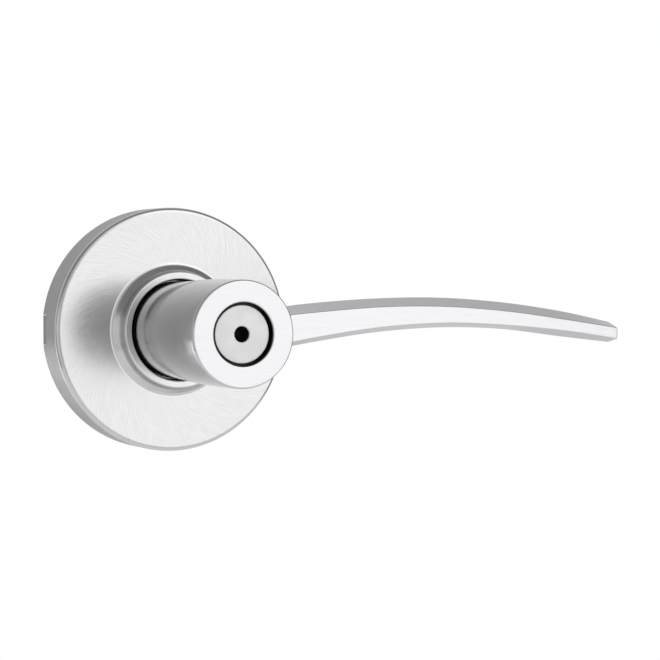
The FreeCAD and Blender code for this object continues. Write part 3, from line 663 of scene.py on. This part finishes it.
def make_collar_guide():
    """Black ring between the collar and the hub."""
    inner_r = 13.5
    outer_r = 14.4
    flange_r = guide["x"][1]
    flange_t = 0.9
    back, top = guide["out"]
    outline = rounded([
        (inner_r, back, 0.1),
        (flange_r, back, 0.2),
        (flange_r, back + flange_t, 0.2),
        (outer_r, back + flange_t, 0.2),
        (outer_r, top, 0.3),
        (inner_r, top, 0.3),
    ])
    piece = turned("collar_ring", "chassis", "black_nylon", outline, "collar_guide")
    smooth(piece)
    set_material(piece, materials["black_nylon"])


# ---------------------------------------------------------------- the plunger's spring

def make_plunger_coil():
    """Round-wire coil behind the plunger's head, a fixed mesh at the CAD spring's length; the real
    spring shortens as the plunger goes in.
    """
    wire_r = 0.3
    wire_sides = 16
    coils = 5
    steps_per_coil = 48
    coil_r = spring["x"][1] - wire_r
    length = spring["out"][1] - spring["out"][0]
    low = spring["out"][0] + wire_r
    pitch = (length - 2 * wire_r) / coils
    slope = math.atan2(pitch, 2 * math.pi * coil_r)
    wire_angles = [2 * math.pi * k / wire_sides for k in range(wire_sides)]
    rings = []
    for i in range(coils * steps_per_coil + 1):
        angle = 2 * math.pi * i / steps_per_coil
        outward = Vector((math.cos(angle), math.sin(angle), 0.0))
        across = Vector((math.sin(angle) * math.sin(slope), -math.cos(angle) * math.sin(slope),
                         math.cos(slope)))
        centre = outward * coil_r + Vector((0.0, 0.0, low + pitch * i / steps_per_coil))
        rings.append([centre + wire_r * (math.cos(a) * outward + math.sin(a) * across)
                      for a in wire_angles])
    bm = bmesh.new()
    skin(bm, rings, close_rings=False, cap=True)
    piece = new_piece("plunger_coil", bm, "lever", "spring_steel", "plunger_spring")
    smooth(piece, math.radians(60))
    set_material(piece, materials["spring_steel"])
    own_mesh(piece)


# ---------------------------------------------------------------- camera, light and stage

CAMERA_PLACE = (-0.1764, -0.4811, 0.01356)
CAMERA_TARGET = (0.03875, -0.030, -0.00014)
CAMERA_LENS = 99.8
KEY_PLACE = (0.5, -0.9, 0.6)
KEY_SIZE = 0.6
KEY_POWER = 0.25
FLOOR_HALF = 2.0
FLOOR_LEVEL = -0.95                 # well below the trim, which hangs on a door
FLOOR_GLOW = 0.35
# Brightness of the studio's cards, all round the trim.
FRONT_RIGHT = 1.46
FRONT_LEFT = 0.60
FRONT_BLEND = (-0.45, 0.30)         # sideways part of the direction, from the left card to the right one
FRONT_FROM = 128.0                  # degrees off straight back at which the front cards begin
# Rings behind the door: degrees off straight back, and brightness.
BEHIND = [
    (4.0, 0.18),
    (13.0, 0.27),
    (20.0, 0.42),
    (26.0, 0.56),
    (40.0, 0.84),
    (56.0, 0.72),
    (76.0, 0.27),
    (106.0, 0.24),
]
# Round cards: direction, reach in degrees, width of the soft edge in degrees, and added brightness.
CARDS = [
    ((-0.42, 0.87, -0.24), 6.0, 3.0, 1.0),
    ((-0.33, 0.87, -0.37), 6.0, 3.0, 0.8),
    ((-0.18, 0.87, -0.46), 6.0, 3.0, 0.6),
    ((0.45, 0.60, -0.65), 16.0, 10.0, 0.20),
    ((-0.95, -0.25, -0.05), 14.0, 12.0, 0.50),
]


def aim(thing, place, target):
    """Puts a camera or light in the scene, at a place and turned to a target."""
    thing.location = place
    thing.rotation_euler = (Vector(target) - Vector(place)).to_track_quat("-Z", "Y").to_euler()
    bpy.context.scene.collection.objects.link(thing)


def make_camera():
    data = bpy.data.cameras.new("camera")
    data.lens = CAMERA_LENS
    data.sensor_width = 36.0
    data.clip_end = 100.0
    camera = bpy.data.objects.new("camera", data)
    aim(camera, CAMERA_PLACE, CAMERA_TARGET)
    bpy.context.scene.camera = camera


def make_key_light():
    data = bpy.data.lights.new("key", "AREA")
    data.shape = "RECTANGLE"
    data.size = KEY_SIZE
    data.size_y = KEY_SIZE
    data.energy = KEY_POWER
    aim(bpy.data.objects.new("key", data), KEY_PLACE, (0.0, 0.0, 0.0))


def cosine(degrees):
    return math.cos(math.radians(degrees))


def make_world():
    """Soft studio of white cards: bright to the front right, greyer to the front left and behind."""
    world = bpy.data.worlds.new("studio")
    world.use_nodes = True
    bpy.context.scene.world = world
    tree = world.node_tree
    nodes, links = tree.nodes, tree.links

    def ramp(value, low, high, out_low, out_high):
        node = nodes.new("ShaderNodeMapRange")
        node.interpolation_type = "SMOOTHSTEP"
        for key, item in enumerate((value, low, high, out_low, out_high)):
            if isinstance(item, bpy.types.NodeSocket):
                links.new(item, node.inputs[key])
            else:
                node.inputs[key].default_value = item
        return node.outputs[0]

    def add(a, b):
        node = nodes.new("ShaderNodeMath")
        links.new(a, node.inputs[0])
        links.new(b, node.inputs[1])
        return node.outputs[0]

    direction = nodes.new("ShaderNodeTexCoord").outputs["Generated"]
    split = nodes.new("ShaderNodeSeparateXYZ")
    links.new(direction, split.inputs[0])
    sideways, backward = split.outputs[0], split.outputs[1]

    def card(towards, reach, edge, strength):
        """Round card in a direction, out to an angle in degrees, with a soft edge."""
        dot = nodes.new("ShaderNodeVectorMath")
        dot.operation = "DOT_PRODUCT"
        links.new(direction, dot.inputs[0])
        dot.inputs[1].default_value = Vector(towards).normalized()
        low, high = cosine(reach + edge), cosine(reach)
        return ramp(dot.outputs["Value"], low, high, 0.0, strength)

    level = ramp(sideways, *FRONT_BLEND, FRONT_LEFT, FRONT_RIGHT)
    previous = FRONT_FROM
    for angle, brightness in reversed(BEHIND):
        level = ramp(backward, cosine(previous), cosine(angle), level, brightness)
        previous = angle
    for towards, reach, edge, strength in CARDS:
        level = add(level, card(towards, reach, edge, strength))
    seen = nodes.new("ShaderNodeLightPath").outputs["Is Camera Ray"]
    background = nodes["Background"]
    links.new(ramp(seen, 0.0, 1.0, level, 1.0), background.inputs[1])
    background.inputs[0].default_value = (1.0, 1.0, 1.0, 1.0)


def make_floor():
    """Pale floor, for the stage only."""
    corners = [(-FLOOR_HALF, -FLOOR_HALF), (FLOOR_HALF, -FLOOR_HALF),
               (FLOOR_HALF, FLOOR_HALF), (-FLOOR_HALF, FLOOR_HALF)]
    bm = bmesh.new()
    bm.faces.new([bm.verts.new((x, y, FLOOR_LEVEL)) for x, y in corners])
    mesh = bpy.data.meshes.new("floor")
    bm.to_mesh(mesh)
    bm.free()
    floor = bpy.data.objects.new("floor", mesh)
    bpy.context.scene.collection.objects.link(floor)
    s = Shader("pale_floor")
    grain = s.noise(s.add("ShaderNodeTexCoord", output=3), 40.0, 4.0, 0.6)
    set_material(floor, s.finish(Base_Color=s.colour(grain, grey(0.88), grey(0.92)), Roughness=0.8,
                                 Emission_Color=grey(1.0), Emission_Strength=FLOOR_GLOW))


# ---------------------------------------------------------------- the whole trim

def dress_cad_nodes():
    """Gives each CAD node whose slot is one of the materials here that material, and shades it smooth.
    """
    slots = {entry["node"]: entry["material_slot"] for entry in frame["record"]["subparts"]}
    for node, piece in frame["nodes"].items():
        if slots[node] in materials:
            set_material(piece, materials[slots[node]])
            smooth(piece)


def main():
    bpy.context.scene.view_settings.view_transform = "Standard"
    dress_cad_nodes()
    make_rose()
    make_lever()
    make_insert()
    make_collar_guide()
    make_plunger_coil()
    make_camera()
    make_world()
    make_floor()
    make_key_light()


main()
